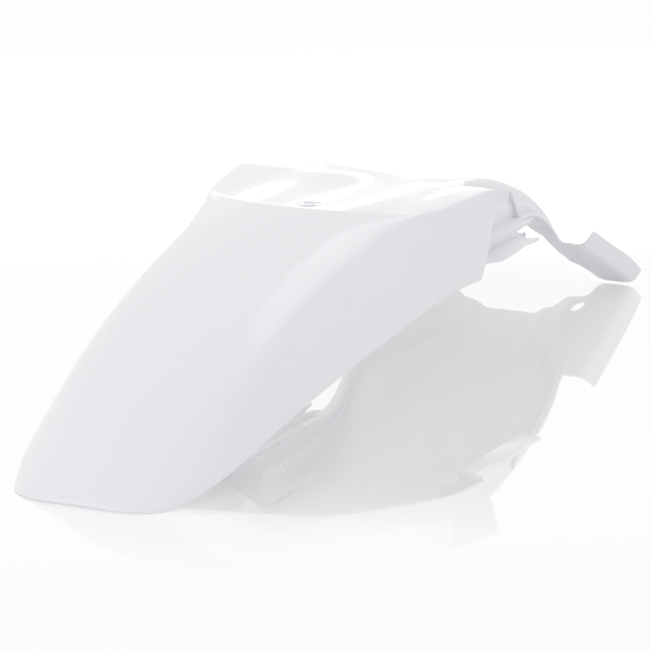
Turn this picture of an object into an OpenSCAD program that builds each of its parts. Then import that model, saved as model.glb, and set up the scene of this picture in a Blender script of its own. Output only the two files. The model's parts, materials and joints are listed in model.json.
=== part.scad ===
// Motorcycle rear fender, moulded in one piece.
// It lies as it rests on a flat surface: trailing edge at -Y, apron towards +Y, centre plane at X = 0.
// Distances from the trailing edge are measured in a frame that starts there; the whole part is then
// centred along Y.
// The skin is one loft. Its rows run from the trailing edge to the front edge of the apron, and its
// columns from the centre plane out to the lower edge, so every wall has the same thickness.

/* [Tail panel] */
// Distance from the trailing edge to the top of the ridge
ridge_y = 327; // [280:1:360]
// Height of the ridge over the surface that the fender rests on
ridge_h = 148; // [130:1:165]
// Width of the tail panel between its two creases
panel_w = 142; // [120:1:155]
// Width of the trailing edge
tail_w = 138; // [115:1:150]
// Length of the rounded corner of the trailing edge
tail_corner = 30; // [20:1:40]
// Roundness of the crease between the tail panel and the side wall
crease_r = 20; // [10:1:26]
// Arch of the trailing edge at its middle
tail_arch = 2; // [1:0.5:5]

/* [Side walls and rails] */
// Distance from the trailing edge to the front end of the rails
rail_l = 466; // [445:1:480]
// Width over the two rails at their front ends
rail_w = 228; // [205:1:240]
// Height of the rails at their front ends
rail_h = 142; // [128:1:155]
// Distance from the trailing edge to the lower front corner of a side wall
skirt_l = 411; // [380:1:430]
// Width over the lower edges of the side walls
skirt_w = 255; // [235:1:280]
// Height of the lower edge of a side wall at its front corner
skirt_h = 82; // [65:1:95]

/* [Seat pocket] */
// Height of the pocket floor just inside the ridge
pocket_h = 139.5; // [122:0.5:143]
// Height of the valley between the two humps at the front end of the pocket
valley_h = 133; // [115:0.5:140]
// Height of the two humps at the front end of the pocket
hump_h = 147; // [130:0.5:155]
// Height of the groove between a hump and its rail
groove_h = 139.5; // [122:0.5:150]

/* [Apron] */
// Distance from the trailing edge to the front edge of the apron
fender_l = 738; // [700:1:800]
// Width over the side walls of the apron
apron_w = 182; // [165:1:195]
// Height of the lower edge of the apron's side wall
apron_edge_h = 95; // [88:1:100]
// Width of the bead along that edge, at the rails
bead_w = 9; // [5:0.5:12]
// Height of the arched front edge at its middle
arch_h = 40; // [30:1:55]
// Width of the arch at the front edge
arch_w = 113; // [95:1:118]

/* [Flanges] */
// Length of a flange
flange_len = 106; // [90:1:120]
// Height of a flange at its rear end
flange_h = 57; // [45:1:68]
// Width over the upturned lips of the two flanges
flange_w = 242; // [225:1:260]
// Height of an upturned lip over its flange
lip_h = 13; // [8:0.5:18]
// Bore for the collar of a mounting bolt
bolt_bore_d = 14; // [8:0.5:15]
// Outer diameter of the flat seat around the bore
bolt_seat_d = 18; // [17:0.5:20]
// Rise of the seat over the ear
bolt_seat_rise = 0.4; // [0.3:0.1:1]
// Distance of a bore from the centre plane
bolt_x = 75; // [73:0.5:77]
// Distance of a bore from the front edge of the apron
bolt_inset = 29; // [27:0.5:32]

/* [Side brackets] */
// Length of the forward tab of a bracket
tab_l = 78; // [50:1:90]
// Distance of the tab's outer edge from the centre plane
tab_x = 118; // [108:1:124]
// Height of the tab
tab_h = 82; // [76:1:84]
// Height of the upright rim between the tab and the apron
rim_h = 13; // [10:0.5:16]
// Distance of the rim from the centre plane
rim_x = 100; // [95:1:104]
// Length of the web under the rail
web_l = 36; // [20:1:45]
// Thickness of the gusset on the apron's side wall
gusset_t = 3; // [2:0.5:5]

/* [Wall and mould marks] */
// Wall thickness
wall_t = 2.6; // [2:0.1:3.2]
// Distance from the trailing edge to the moulded rings in the pocket
ring_y = 365; // [350:1:400]
// Diameter of the larger ring
ring_d = 25; // [18:1:32]
// Diameter of the smaller ring
ring_inner_d = 10; // [6:1:14]
// Width and rise of the rings
ring_t = 1; // [0.6:0.1:1.6]

/* [Hidden] */
overrun = 1;
facets = 32;

// Stations of the loft: each guide has one point per station, as shares of the named sizes.
// Stations 0 to 6 lie on the tail panel, 6 is the ridge, and 9 is the front end of the rails.
centre_y_shares = [0, 0.153, 0.321, 0.52, 0.719, 0.887, 1];
centre_z_shares = [0, 0.235, 0.47, 0.688, 0.854, 0.951, 1];
pocket_y_shares = [0.33, 0.66, 0.985];
crease_x_shares = [0.945, 0.985, 1, 1, 1.06];
rail_x_shares = [0.807, 0.886, 0.939, 1];
crest_y_shares = [0.118, 0.24, 0.386, 0.536, 0.68, 0.805, 0.85, 0.923, 1];
crest_z_shares = [0.165, 0.451, 0.69, 0.859, 0.96, 0.98, 0.986, 0.996, 1];
skirt_x_shares = [0.65, 0.72, 0.795, 0.86, 0.908, 0.949, 0.97, 0.986, 1];
skirt_y_shares = [0.158, 0.287, 0.428, 0.584, 0.73, 0.857, 0.905, 0.953, 1];
skirt_z_shares = [0.14, 0.335, 0.555, 0.73, 0.866, 0.972, 0.995, 1.005, 1];

tail_corner_share = 0.3;
tail_half_share = 0.87;
centre_guide = concat(
    [for (k = [0:6]) [0, centre_y_shares[k] * ridge_y,
                      centre_z_shares[k] * (ridge_h - tail_arch) + tail_arch]],
    [for (s = pocket_y_shares) [0, ridge_y + s * (rail_l - ridge_y), ridge_h]]);
crest_guide = concat(
    [[tail_half_share * tail_w / 2, tail_corner_share * tail_corner, 0]],
    [for (k = [0:8]) [
        k < 5 ? crease_x_shares[k] * panel_w / 2 : rail_x_shares[k - 5] * rail_w / 2,
        crest_y_shares[k] * rail_l, crest_z_shares[k] * rail_h]]);
skirt_guide = concat(
    [[tail_w / 2, tail_corner, 0]],
    [for (k = [0:8]) [skirt_x_shares[k] * skirt_w / 2, skirt_y_shares[k] * skirt_l,
                      skirt_z_shares[k] * skirt_h]]);
last_station = len(crest_guide) - 1;
ridge_station = len(centre_y_shares) - 1;

// The apron has seven stations, from the front end of the rails to its front edge.
// Stations 3 to 6 carry the flanges.
flange_y = fender_l - flange_len;
side_l = flange_y - rail_l;
apron_y = [rail_l + 0.05 * side_l, rail_l + 0.33 * side_l, rail_l + 0.7 * side_l,
           flange_y, flange_y + 0.43 * flange_len, flange_y + 0.7 * flange_len, fender_l];
apron_z_shares = [0.995, 0.93, 0.75, 0.52, 0.27, 0.13, 0];
hump_shares = [0.97, 0.85, 0.54, 0.3, 0.05, 0.01, 0];
shoulder_x_shares = [0.87, 0.91, 0.96, 0.955];
shoulder_z_shares = [1, 0.91, 0.36];
shoulder_guide = [
    for (k = [0:6])
        k < 4
        ? [shoulder_x_shares[k] * apron_w / 2, apron_y[k],
           k < 3 ? apron_edge_h + shoulder_z_shares[k] * (groove_h - apron_edge_h)
                 : flange_h + 1.25 * lip_h]
        : k == 4 ? [0.88 * arch_w / 2, apron_y[k], 0.35 * flange_h + arch_h]
        : k == 5 ? [0.81 * arch_w / 2, apron_y[k], 0.1 * flange_h + 0.93 * arch_h]
                 : [0.72 * arch_w / 2, apron_y[k] - 0.05 * flange_len, 0.8 * arch_h]];
// Inner foot of the side wall, where the flange starts
foot_guide = [
    for (k = [0:6])
        k < 3 ? [0.985 * apron_w / 2 + (k == 2 ? wall_t / 4 : 0), apron_y[k], apron_edge_h]
        : k == 3 ? [apron_w / 2, flange_y, flange_h]
        : k == 4 ? [1.04 * arch_w / 2, apron_y[k], 0.86 * flange_h]
        : k == 5 ? [1.02 * arch_w / 2, apron_y[k], 0.25 * flange_h + 0.42 * arch_h]
                 : [arch_w / 2, fender_l - 0.05 * flange_len, 0.5 * arch_h]];
// Lines along the flange, each with one point at stations 3 to 6: root, ear with the bore, notch
// beside the ear, floor, fold and top of the lip. The floor falls forward, and the ear, which is flat
// too, falls forward and outward.
flange_fall = (flange_h - 1.15 * wall_t) / (0.9 * flange_len);
ear_fall = 0.85 * flange_fall;
ear_lean = 0.55 * flange_fall;
root_x = bolt_x - 0.6 * bolt_seat_d;
ear_x = bolt_x + 0.47 * bolt_seat_d;
function on_slope(x, y) = [x, y, flange_h - (y - flange_y) * flange_fall];
function on_ear(x, y) = [x, y, on_slope(x, apron_y[4])[2] + 0.7 * wall_t - (y - apron_y[4]) * ear_fall
                               - (x - ear_x) * ear_lean];

notch_x = ear_x + wall_t;
floor_x = flange_w / 2 - 1.2 * bolt_seat_d;
fold_x = flange_w / 2 - wall_t;
front_y = flange_y + 0.9 * flange_len;
rear_row = [for (t = [0.5, 0.7, 0.85]) on_slope(mix(apron_w / 2, floor_x, t), flange_y)];
root_guide = [rear_row[0], on_ear(root_x, apron_y[4]) + [0, 0, 1.5 * wall_t], on_ear(root_x, apron_y[5]),
              on_ear(root_x, fender_l - 0.13 * flange_len)];
ear_guide = [rear_row[1], on_ear(ear_x, apron_y[4]), on_ear(ear_x, apron_y[5] - wall_t / 2),
             on_ear(ear_x, fender_l - 0.2 * flange_len)];
notch_guide = [rear_row[2], on_slope(notch_x, apron_y[4]), on_slope(notch_x, apron_y[5]),
               on_slope(notch_x, front_y)];
floor_guide = [on_slope(floor_x, flange_y), on_slope(floor_x, apron_y[4]), on_slope(floor_x, apron_y[5]),
               on_slope(floor_x, front_y)];
fold_guide = [on_slope(fold_x - wall_t, flange_y), on_slope(fold_x - wall_t / 2, apron_y[4]),
              on_slope(fold_x, apron_y[5]), on_slope(fold_x, front_y)];
lip_guide = [on_slope(flange_w / 2 - wall_t, flange_y) + [0, 0.75, 0.75] * lip_h,
             on_slope(flange_w / 2 - wall_t / 2, apron_y[4]) + [0, 0.33, 1] * lip_h,
             on_slope(flange_w / 2 - wall_t / 4, apron_y[5]) + [0, 0.33, 1] * lip_h,
             [flange_w / 2, fender_l - 0.06 * flange_len, 0.9 * lip_h + wall_t / 2]];

// Columns of the loft, from the centre plane outwards
top_shares = [0, 0.11, 0.22, 0.33, 0.44, 0.55, 0.64, 0.715, 0.765, 0.88, 1];
round_shares = [0.25, 0.5, 0.75, 1];
side_shares = [0.2, 0.4, 0.6, 0.8, 1];
top_cols = len(top_shares);
round_cols = len(round_shares);
side_cols = len(side_shares);
skin_cols = top_cols + round_cols + side_cols;
flange_cols = 8;
cols = skin_cols + flange_cols;

// Rows of the loft, as places along the stations
panel_rows = 15;
drop_shares = [0.05, 0.12, 0.21];
pocket_shares = [0.15, 0.27, 0.4, 0.53, 0.67, 0.78, 0.9, 1];
apron_shares = [0, 0.083, 0.167, 0.25, 0.317, 0.383, 0.44, 0.5, 0.55, 0.605, 0.667, 0.72, 0.775, 0.834,
                0.91, 1];
pocket_stations = last_station - ridge_station;
main_steps = concat([for (r = [0:panel_rows]) ridge_station * r / panel_rows],
                    [for (s = drop_shares) ridge_station + s],
                    [for (s = pocket_shares) ridge_station + s * pocket_stations]);
apron_steps = [for (s = apron_shares) s * (len(apron_y) - 1)];
main_rows = len(main_steps);
rows = main_rows + len(apron_steps);
flange_row = main_rows + 7;

function clamp01(v) = min(1, max(0, v));
function ease(v) = let (c = clamp01(v)) c * c * (3 - 2 * c);
function mix(a, b, t) = a + (b - a) * t;

// Point at place u on a smooth curve through the points of a guide
function along(guide, u) =
    let (n = len(guide) - 1,
         k = min(n - 1, floor(u)),
         t = u - k,
         p1 = guide[k],
         p2 = guide[k + 1],
         m1 = k > 0 ? (p2 - guide[k - 1]) / 2 : p2 - p1,
         m2 = k + 2 <= n ? (guide[k + 2] - p1) / 2 : p2 - p1)
    p1 * (1 + 2 * t) * (1 - t) * (1 - t) + m1 * t * (1 - t) * (1 - t)
    + p2 * t * t * (3 - 2 * t) - m2 * t * t * (1 - t);

// Height across the pocket: valley, hump, groove and rail, at a share s of the width
hump_share = 0.4;
groove_share = 0.69;
ledge_share = 0.73;
ledge_rise_share = 0.35;
function across(s, valley, hump, groove, rail) =
    s < hump_share ? mix(valley, hump, ease(s / hump_share))
    : s < groove_share ? mix(hump, groove, ease((s - hump_share) / (groove_share - hump_share)))
    : s < ledge_share
        ? mix(groove, mix(groove, rail, ledge_rise_share), (s - groove_share) / (ledge_share - groove_share))
    : mix(mix(groove, rail, ledge_rise_share), rail, (s - ledge_share) / (1 - ledge_share));

// Top of the fender between the centre plane and the crest, at row place u and width share s
rail_round_share = 0.955;
function top_share(u) = mix(1 - crease_r / (panel_w / 2), rail_round_share, ease(u - ridge_station + 1));
function top_point(u, s) =
    let (c = along(centre_guide, u),
         k = along(crest_guide, u),
         sweep = mix(s * s * s * s * s, s * s, clamp01(u / 2)),
         lid = mix(c[2], k[2], s * s),
         f = clamp01((u - ridge_station) / pocket_stations),
         floor_z = across(s, mix(pocket_h, valley_h, f), mix(pocket_h, hump_h, ease(f)),
                          mix(pocket_h - wall_t, groove_h, f), k[2]),
         drop = ease((u - ridge_station) / drop_shares[2]))
    [s * k[0], mix(c[1], k[1], sweep), mix(lid, floor_z, drop)];

// Rounded crease from a to b around the corner k
function bend(a, k, b, t) = a * (1 - t) * (1 - t) + k * 2 * t * (1 - t) + b * t * t;

side_bulge_share = 0.035;
function main_point(u, j) =
    let (sa = top_share(u),
         k = top_point(u, 1),
         e = along(skirt_guide, u),
         side = e - k,
         reach = min(0.45, (1 - sa) * k[0] / norm(side)),
         b = k + side * reach)
    j < top_cols ? top_point(u, top_shares[j] * sa)
    : j < top_cols + round_cols ? bend(top_point(u, sa), k, b, round_shares[j - top_cols])
    : let (t = side_shares[j - top_cols - round_cols])
      mix(b, e, t) + [1, 0, 0] * side_bulge_share * norm(side) * sin(180 * t);

// Side wall of the apron: upper face, ledge and lower face, as shares of its height and width
step_drop_shares = [0.15, 0.42, 0.58, 0.8, 1];
step_out_shares = [0.1, 0.2, 0.85, 0.95, 1];
shoulder_round_share = 0.9;
function apron_point(w, j) =
    let (c_y = along([for (y = apron_y) [y]], w)[0],
         c_z = along([for (s = apron_z_shares) [mix(arch_h, valley_h, s)]], w)[0],
         hump = along([for (s = hump_shares) [s * (hump_h - valley_h)]], w)[0],
         h = along(shoulder_guide, w),
         foot = along(foot_guide, w),
         sh = shoulder_round_share,
         top_s = j < top_cols ? top_shares[j] * sh : sh,
         groove = mix(h[2], c_z, 0.1 * (1 - clamp01(w))),
         z_top = across(top_s / sh * groove_share, c_z, c_z + hump, groove, h[2]),
         a = [sh * h[0], mix(c_y, h[1], sh * sh), across(groove_share, c_z, c_z + hump, groove, h[2])],
         side = foot - h,
         b = h + side * min(0.3, (1 - sh) * h[0] / norm(side)))
    j < top_cols ? [top_s * h[0], mix(c_y, h[1], top_s * top_s), z_top]
    : j < top_cols + round_cols
        ? bend(a, [h[0], h[1], max(h[2], a[2] - wall_t)], b, round_shares[j - top_cols])
    : j < skin_cols
        ? let (m = j - top_cols - round_cols,
               d = foot - b,
               blend = ease(w - 2),
               dz = mix(step_drop_shares[m], side_shares[m], blend),
               dx = mix(step_out_shares[m], side_shares[m], blend))
          [b[0] + d[0] * dx, b[1] + d[1] * dz, b[2] + d[2] * dz]
    : w < 3 ? foot + [mix(bead_w, root_guide[0][0] - apron_w / 2, ease((w - 1) / 2)), 0, 0]
    : flange_point(w - 3, j - skin_cols);

function flange_point(v, m) =
    let (root = along(root_guide, v),
         ear = along(ear_guide, v),
         notch = along(notch_guide, v),
         low = along(floor_guide, v),
         fold = along(fold_guide, v),
         lip = along(lip_guide, v))
    m < 4 ? [root, ear, notch, low][m]
    : m == 4 ? mix(low, fold, 0.7)
    : bend(mix(low, fold, 0.7), fold, lip, (m - 4) / 3);

// Cells of the loft that hold wall: side walls end at the rails' front ends, the bead runs along
// the apron's side wall, and the flanges start at their own row
function has_cell(i, j) =
    let (m = j >= 0 ? j : -1 - j)
    i < 0 || i > rows - 2 || m > cols - 2 ? false
    : i < main_rows - 1 ? m < skin_cols - 1
    : i == main_rows - 1 ? m < top_cols + 1
    : i < flange_row ? m < skin_cols : true;

function half_point(i, j) =
    i < main_rows ? (j < skin_cols ? main_point(main_steps[i], j) : [0, 0, 0])
    : i < flange_row && j > skin_cols ? [0, 0, 0]
    : apron_point(apron_steps[i - main_rows], j);

half = [for (i = [0:rows - 1]) [for (j = [0:cols - 1]) half_point(i, j)]];
outer = [for (i = [0:rows - 1]) [for (j = [1 - cols:cols - 1])
    let (p = half[i][abs(j)]) [sign(j) * p[0], p[1], p[2]]]];

function grid(points, i, j) = points[i][j + cols - 1];
function cell_normal(i, j) =
    has_cell(i, j)
    ? let (n = cross(grid(outer, i + 1, j + 1) - grid(outer, i, j),
                     grid(outer, i + 1, j) - grid(outer, i, j + 1)))
      norm(n) > 0 ? n / norm(n) : [0, 0, 0]
    : [0, 0, 0];
function wall_normal(i, j) =
    let (n = cell_normal(i, j) + cell_normal(i - 1, j) + cell_normal(i, j - 1) + cell_normal(i - 1, j - 1))
    norm(n) > 0 ? n / norm(n) : [0, 0, 1];
function rest(p) = [p[0], p[1], max(0, p[2])];

inner = [for (i = [0:rows - 1]) [for (j = [1 - cols:cols - 1])
    rest(grid(outer, i, j) - wall_t * wall_normal(i, j))]];

span = 2 * cols - 1;
function outer_id(i, j) = i * span + j + cols - 1;
function inner_id(i, j) = rows * span + outer_id(i, j);

// Two triangles of a cell's face. Their shared edge is mirrored on the left side.
function quad(j, a, b, c, d) = j < 0 ? [[b, c, d], [b, d, a]] : [[a, b, c], [a, c, d]];

// Edge of the sheet between two points of the loft
function edge_wall(j, i0, j0, i1, j1) =
    quad(j, outer_id(i0, j0), outer_id(i1, j1), inner_id(i1, j1), inner_id(i0, j0));

skin_faces = [
    for (i = [0:rows - 2], j = [1 - cols:cols - 2]) if (has_cell(i, j))
        each concat(
            quad(j, outer_id(i, j), outer_id(i + 1, j), outer_id(i + 1, j + 1), outer_id(i, j + 1)),
            quad(-1 - j, inner_id(i, j + 1), inner_id(i + 1, j + 1), inner_id(i + 1, j), inner_id(i, j)),
            has_cell(i - 1, j) ? [] : edge_wall(j, i, j, i, j + 1),
            has_cell(i + 1, j) ? [] : edge_wall(j, i + 1, j + 1, i + 1, j),
            has_cell(i, j - 1) ? [] : edge_wall(j, i + 1, j, i, j),
            has_cell(i, j + 1) ? [] : edge_wall(j, i, j + 1, i + 1, j + 1))];

module skin() {
    polyhedron(points = concat([for (r = outer) for (p = r) rest(p)], [for (r = inner) each r]),
               faces = skin_faces, convexity = 6);
}

// Brackets under the rails: a pointed tab, and a rim that joins it to the bead of the apron
web_y = rail_l - web_l;
tab_y = rail_l + tab_l;
rim_end = tab_y - 0.1 * tab_l;
rim_top = tab_h + rim_h;
rim_line = [[web_y, tab_h], [tab_y + 0.1 * tab_l, tab_h], [tab_y + 0.1 * tab_l, tab_h + wall_t / 2],
            [rim_end, rim_top - 0.5 * rim_h], [tab_y + 0.1 * tab_l, rim_top - 0.45 * rim_h],
            [tab_y + 0.3 * tab_l, rim_top - wall_t], [tab_y + 0.3 * tab_l, rim_top - wall_t / 2],
            [tab_y, rim_top], [web_y, rim_top]];
heel_x = mix(rim_x, tab_x, 0.6);
tab_points = [[rim_x - wall_t, web_y], [heel_x, web_y], [heel_x, rail_l - 0.1 * tab_l],
              [tab_x, rail_l + 0.03 * tab_l], [tab_x, rail_l + 0.25 * tab_l],
              [tab_x - wall_t, mix(rail_l, tab_y, 0.65)], [tab_x, tab_y - 2 * wall_t],
              [tab_x - wall_t, tab_y - wall_t / 2], [mix(rim_x, tab_x, 0.4), rim_end],
              [rim_x, tab_y + 0.1 * tab_l], [rim_x - wall_t, tab_y + 0.1 * tab_l]];

module bracket() {
    translate([0, 0, tab_h]) linear_extrude(wall_t) polygon(tab_points);
    translate([rim_x - wall_t, 0, 0]) rotate([90, 0, 90]) linear_extrude(wall_t) polygon(rim_line);
    translate([apron_w / 2 - wall_t, web_y, rim_top - wall_t])
        cube([rim_x - apron_w / 2 + wall_t, tab_y - web_y, wall_t]);
}

// Web under the rail: the apron's side wall, continued to the rear
web_side = [for (j = [top_cols + round_cols - 1:skin_cols - 1])
    let (p = apron_point(0, j)) [p[0], p[2]]];
web_top = [web_side[0][0], groove_h - wall_t / 2];
web_line = concat([web_top], web_side);
web_back = [for (k = [len(web_line) - 1:-1:0]) web_line[k] - [wall_t, 0]];

module web() {
    translate([0, apron_y[0] + wall_t, 0]) rotate([90, 0, 0])
        linear_extrude(apron_y[0] + wall_t - web_y) polygon(concat(web_line, web_back));
}

// Gusset between the apron's side wall and its bead
gusset_place = 0.25 * (len(apron_y) - 1);
gusset_top = apron_point(gusset_place, top_cols + round_cols - 1);
gusset_foot = apron_point(gusset_place, skin_cols - 1);

module gusset() {
    translate([0, gusset_foot[1] + gusset_t / 2, 0]) rotate([90, 0, 0]) linear_extrude(gusset_t)
        polygon([[gusset_top[0] - wall_t, gusset_top[2]], [gusset_top[0] + wall_t / 2, gusset_top[2]],
                 [gusset_foot[0] + 0.6 * bead_w, gusset_foot[2]],
                 [gusset_foot[0] + 0.6 * bead_w, gusset_foot[2] - wall_t / 2],
                 [gusset_foot[0] - wall_t / 2, gusset_foot[2] - wall_t / 2]]);
}

// Bolt seat: its axis stands square to the ear, and its two faces are flat
ear_pitch = atan(ear_fall);
ear_roll = atan(ear_lean * cos(ear_pitch));
bolt_at = on_ear(bolt_x, fender_l - bolt_inset);
seat_t = wall_t + 2 * bolt_seat_rise;

module at_bolt() {
    translate(bolt_at) rotate([-ear_pitch, 0, 0]) rotate([0, ear_roll, 0])
        translate([0, 0, -wall_t - bolt_seat_rise]) children();
}

module bolt_seat() {
    at_bolt() cylinder(d = bolt_seat_d, h = seat_t, $fn = facets);
}

module bolt_bore() {
    at_bolt() {
        translate([0, 0, -seat_t]) cylinder(d = bolt_bore_d, h = 3 * seat_t, $fn = facets);
        translate([0, 0, seat_t]) cylinder(d = 0.9 * bolt_seat_d, h = seat_t, $fn = facets);
        translate([0, 0, -seat_t]) cylinder(d = 0.9 * bolt_seat_d, h = seat_t, $fn = facets);
    }
}

// Plain moulded rings on the floor of the pocket
ring_place = ridge_station + pocket_stations * (ring_y - ridge_y) / (rail_l - ridge_y);
ring_at = top_point(ring_place, 0);
ring_rise = top_point(ring_place + 0.1, 0) - ring_at;
ring_tilt = atan(ring_rise[2] / ring_rise[1]);

module ring(d) {
    translate(ring_at) rotate([ring_tilt, 0, 0]) translate([0, 0, -wall_t / 2])
        difference() {
            cylinder(d = d, h = wall_t / 2 + ring_t, $fn = facets);
            translate([0, 0, -overrun])
                cylinder(d = d - 2 * ring_t, h = wall_t / 2 + ring_t + 2 * overrun, $fn = facets);
        }
}

module both_sides() {
    children();
    mirror([1, 0, 0]) children();
}

module rear_fender() {
    color("white") translate([0, -fender_l / 2, 0]) difference() {
        union() {
            skin();
            both_sides() bracket();
            both_sides() gusset();
            both_sides() web();
            both_sides() bolt_seat();
            ring(ring_d);
            ring(ring_inner_d);
        }
        both_sides() bolt_bore();
    }
}

rear_fender();
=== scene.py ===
"""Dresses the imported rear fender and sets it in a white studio.

The skin repeats the rule of the CAD source: guides run from the trailing edge to the front edge,
and every row of the sheet is placed along them. A node tree refines the sheet and gives it its
wall, so the visible surface is smooth where the CAD solid has facets.
"""

import json
import logging
from collections.abc import Callable, Iterable
from dataclasses import dataclass
from enum import Enum
from math import atan, cos, pi, radians, sin

import bmesh
import bpy
import numpy as np
from mathutils import Matrix, Vector

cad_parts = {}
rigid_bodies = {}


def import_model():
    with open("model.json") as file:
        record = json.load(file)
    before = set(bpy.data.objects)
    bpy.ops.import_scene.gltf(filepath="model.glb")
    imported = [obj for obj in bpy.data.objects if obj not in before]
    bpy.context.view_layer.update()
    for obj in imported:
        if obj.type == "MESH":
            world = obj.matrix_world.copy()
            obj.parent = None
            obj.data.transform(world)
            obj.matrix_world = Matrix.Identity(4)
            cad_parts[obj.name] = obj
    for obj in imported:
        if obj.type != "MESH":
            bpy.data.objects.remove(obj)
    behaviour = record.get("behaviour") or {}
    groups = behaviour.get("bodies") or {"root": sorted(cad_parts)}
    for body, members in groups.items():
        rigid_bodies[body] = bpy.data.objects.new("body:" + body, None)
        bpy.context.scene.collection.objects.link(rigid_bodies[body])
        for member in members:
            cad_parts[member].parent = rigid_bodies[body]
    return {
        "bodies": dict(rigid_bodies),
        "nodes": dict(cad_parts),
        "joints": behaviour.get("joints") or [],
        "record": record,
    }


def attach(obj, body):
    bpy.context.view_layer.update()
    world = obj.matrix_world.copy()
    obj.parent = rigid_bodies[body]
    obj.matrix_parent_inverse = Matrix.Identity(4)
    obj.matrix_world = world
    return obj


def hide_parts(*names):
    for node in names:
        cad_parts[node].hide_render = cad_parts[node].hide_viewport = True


LOG = logging.getLogger("rear_fender")
MM = 0.001
BODY = "root"
NODE = "rear_fender"
BEVEL_ANGLE = 50

Colour = tuple[float, float, float]
Value = float | np.ndarray


class Side(Enum):
    """Side of the fender, with the sign of X on it."""

    RIGHT = 1
    LEFT = -1


class Change(Enum):
    """What a helper solid does to the skin."""

    JOIN = "UNION"
    CUT = "DIFFERENCE"


def mix(a: Value, b: Value, t: float) -> Value:
    """Returns the value a share t of the way from a to b."""
    return a + (b - a) * t


def clamp01(value: float) -> float:
    """Returns the value kept between 0 and 1."""
    return min(1.0, max(0.0, value))


def ease(value: float) -> float:
    """Returns a share that starts and ends gently."""
    c = clamp01(value)
    return c * c * (3 - 2 * c)


def bend(a: np.ndarray, corner: np.ndarray, b: np.ndarray, t: float) -> np.ndarray:
    """Returns the point at share t of the rounded corner from a to b."""
    return a * (1 - t) ** 2 + corner * 2 * t * (1 - t) + b * t * t


class Guide:
    """A smooth curve through a few points, one for each station of the loft."""

    def __init__(self, points: list) -> None:
        """Keeps the points as an array.

        Args:
            points: One point, or one number, for each station.
        """
        self.points = np.array(points, dtype=float)

    def at(self, place: float) -> np.ndarray:
        """Returns the point of the curve at a place counted in stations.

        Args:
            place: Place counted in stations.

        Returns:
            The point of the curve at a place counted in stations.
        """
        p = self.points
        last = len(p) - 1
        k = min(last - 1, int(place))
        t = place - k
        m1 = (p[k + 1] - p[k - 1]) / 2 if k > 0 else p[k + 1] - p[k]
        m2 = (p[k + 2] - p[k]) / 2 if k + 2 <= last else p[k + 1] - p[k]
        return (
            p[k] * (1 + 2 * t) * (1 - t) ** 2
            + m1 * t * (1 - t) ** 2
            + p[k + 1] * t * t * (3 - 2 * t)
            - m2 * t * t * (1 - t)
        )


@dataclass(frozen=True)
class FenderSizes:
    """The sizes of the fender in millimetres, as the CAD source names them.

    The visible skin departs from the solids in pocket_h, hump_h and the ring's sizes, which
    follow the photograph more closely, and in rim_rounding, which the solids don't have.
    """

    ridge_y: float = 327
    ridge_h: float = 148
    panel_w: float = 142
    tail_w: float = 138
    tail_corner: float = 30
    crease_r: float = 20
    tail_arch: float = 2
    rail_l: float = 466
    rail_w: float = 228
    rail_h: float = 142
    skirt_l: float = 411
    skirt_w: float = 255
    skirt_h: float = 82
    pocket_h: float = 143
    valley_h: float = 133
    hump_h: float = 139
    groove_h: float = 139.5
    fender_l: float = 738
    apron_w: float = 182
    apron_edge_h: float = 95
    bead_w: float = 9
    arch_h: float = 40
    arch_w: float = 113
    flange_len: float = 106
    flange_h: float = 57
    flange_w: float = 242
    lip_h: float = 13
    bolt_bore_d: float = 14
    bolt_seat_d: float = 18
    bolt_seat_rise: float = 0.4
    bolt_x: float = 75
    bolt_inset: float = 29
    tab_l: float = 78
    tab_x: float = 118
    tab_h: float = 82
    rim_h: float = 13
    rim_x: float = 100
    web_l: float = 36
    gusset_t: float = 3
    wall_t: float = 2.6
    ring_y: float = 368
    ring_d: float = 20
    ring_inner_d: float = 10
    ring_t: float = 0.7
    rim_rounding: float = 0.5

    @property
    def flange_y(self) -> float:
        """Distance from the trailing edge to the rear end of the flanges."""
        return self.fender_l - self.flange_len

    @property
    def flange_fall(self) -> float:
        """Fall of the flange's floor for each unit forward."""
        return (self.flange_h - 1.15 * self.wall_t) / (0.9 * self.flange_len)

    @property
    def ear_fall(self) -> float:
        """Fall of the ear for each unit forward."""
        return 0.85 * self.flange_fall

    @property
    def ear_lean(self) -> float:
        """Fall of the ear for each unit outward."""
        return 0.55 * self.flange_fall

    @property
    def ear_x(self) -> float:
        """Distance of the ear's outer line from the centre plane."""
        return self.bolt_x + 0.47 * self.bolt_seat_d


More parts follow.
